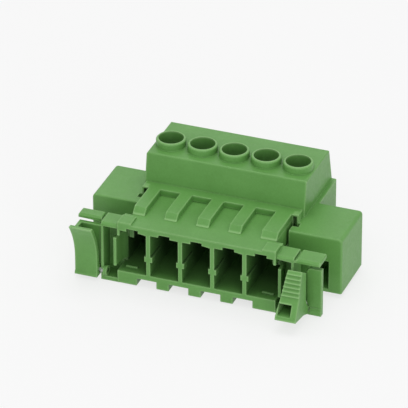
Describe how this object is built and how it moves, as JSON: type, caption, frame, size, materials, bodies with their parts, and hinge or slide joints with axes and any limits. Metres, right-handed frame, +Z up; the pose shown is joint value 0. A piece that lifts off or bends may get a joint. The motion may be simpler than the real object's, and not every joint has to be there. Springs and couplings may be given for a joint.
{
  "type": "pluggable terminal block",
  "caption": "Feed-through panel terminal block: chambered header in front, screw-clamp terminals behind, comb of teeth on top and a lever latch at each end.",
  "frame": {"origin": "foot of the middle clamp screw's axis, on the underside of the terminal housing", "axes": "+X along the row to the right, +Y from the header to the wire entries, +Z up along the screws"},
  "size_m": [0.0596, 0.0443, 0.0253],
  "materials": {
    "green_plastic": "moulded polyamide, fine matte",
    "tinned_brass": "tin plated brass strip",
    "zinc_steel": "zinc plated folded steel",
    "steel": "zinc plated turned steel"
  },
  "bodies": {
    "housing": {"header_shell": "green_plastic", "terminal_housing": "green_plastic", "latch_pin_left": "steel", "latch_pin_right": "steel", "contact_1": "tinned_brass", "contact_2": "tinned_brass", "contact_3": "tinned_brass", "contact_4": "tinned_brass", "contact_5": "tinned_brass"},
    "screw_1": {"clamp_screw_1": "steel"},
    "cage_1": {"clamp_cage_1": "zinc_steel"},
    "screw_2": {"clamp_screw_2": "steel"},
    "cage_2": {"clamp_cage_2": "zinc_steel"},
    "screw_3": {"clamp_screw_3": "steel"},
    "cage_3": {"clamp_cage_3": "zinc_steel"},
    "screw_4": {"clamp_screw_4": "steel"},
    "cage_4": {"clamp_cage_4": "zinc_steel"},
    "screw_5": {"clamp_screw_5": "steel"},
    "cage_5": {"clamp_cage_5": "zinc_steel"},
    "latch_left": {"latch_left": "green_plastic"},
    "latch_right": {"latch_right": "green_plastic"}
  },
  "joints": [
    {"name": "screw_turn_1", "type": "hinge", "parent": "housing", "child": "screw_1", "pos_m": [-0.01524, 0, 0.014], "axis": [0, 0, 1], "range_deg": [-3030, 0]},
    {"name": "cage_lift_1", "type": "slide", "parent": "housing", "child": "cage_1", "axis": [0, 0, 1], "range_m": [0, 0.0042]},
    {"name": "screw_turn_2", "type": "hinge", "parent": "housing", "child": "screw_2", "pos_m": [-0.00762, 0, 0.014], "axis": [0, 0, 1], "range_deg": [-3030, 0]},
    {"name": "cage_lift_2", "type": "slide", "parent": "housing", "child": "cage_2", "axis": [0, 0, 1], "range_m": [0, 0.0042]},
    {"name": "screw_turn_3", "type": "hinge", "parent": "housing", "child": "screw_3", "pos_m": [0, 0, 0.014], "axis": [0, 0, 1], "range_deg": [-3030, 0]},
    {"name": "cage_lift_3", "type": "slide", "parent": "housing", "child": "cage_3", "axis": [0, 0, 1], "range_m": [0, 0.0042]},
    {"name": "screw_turn_4", "type": "hinge", "parent": "housing", "child": "screw_4", "pos_m": [0.00762, 0, 0.014], "axis": [0, 0, 1], "range_deg": [-3030, 0]},
    {"name": "cage_lift_4", "type": "slide", "parent": "housing", "child": "cage_4", "axis": [0, 0, 1], "range_m": [0, 0.0042]},
    {"name": "screw_turn_5", "type": "hinge", "parent": "housing", "child": "screw_5", "pos_m": [0.01524, 0, 0.014], "axis": [0, 0, 1], "range_deg": [-3030, 0]},
    {"name": "cage_lift_5", "type": "slide", "parent": "housing", "child": "cage_5", "axis": [0, 0, 1], "range_m": [0, 0.0042]},
    {"name": "latch_left_swing", "type": "hinge", "parent": "housing", "child": "latch_left", "pos_m": [-0.0257, -0.02365, 0.00225], "axis": [1, 0, 0], "range_deg": [-8, 6], "stiffness_Nm_per_rad": 0.01},
    {"name": "latch_right_swing", "type": "hinge", "parent": "housing", "child": "latch_right", "pos_m": [0.0246, -0.023, 0.00177], "axis": [1, 0, 0], "range_deg": [-3, 8], "stiffness_Nm_per_rad": 0.01}
  ],
  "couplings": [
    {"joint": "screw_turn_1", "follows": "cage_lift_1", "rad_per_m": -12566},
    {"joint": "screw_turn_2", "follows": "cage_lift_2", "rad_per_m": -12566},
    {"joint": "screw_turn_3", "follows": "cage_lift_3", "rad_per_m": -12566},
    {"joint": "screw_turn_4", "follows": "cage_lift_4", "rad_per_m": -12566},
    {"joint": "screw_turn_5", "follows": "cage_lift_5", "rad_per_m": -12566}
  ]
}
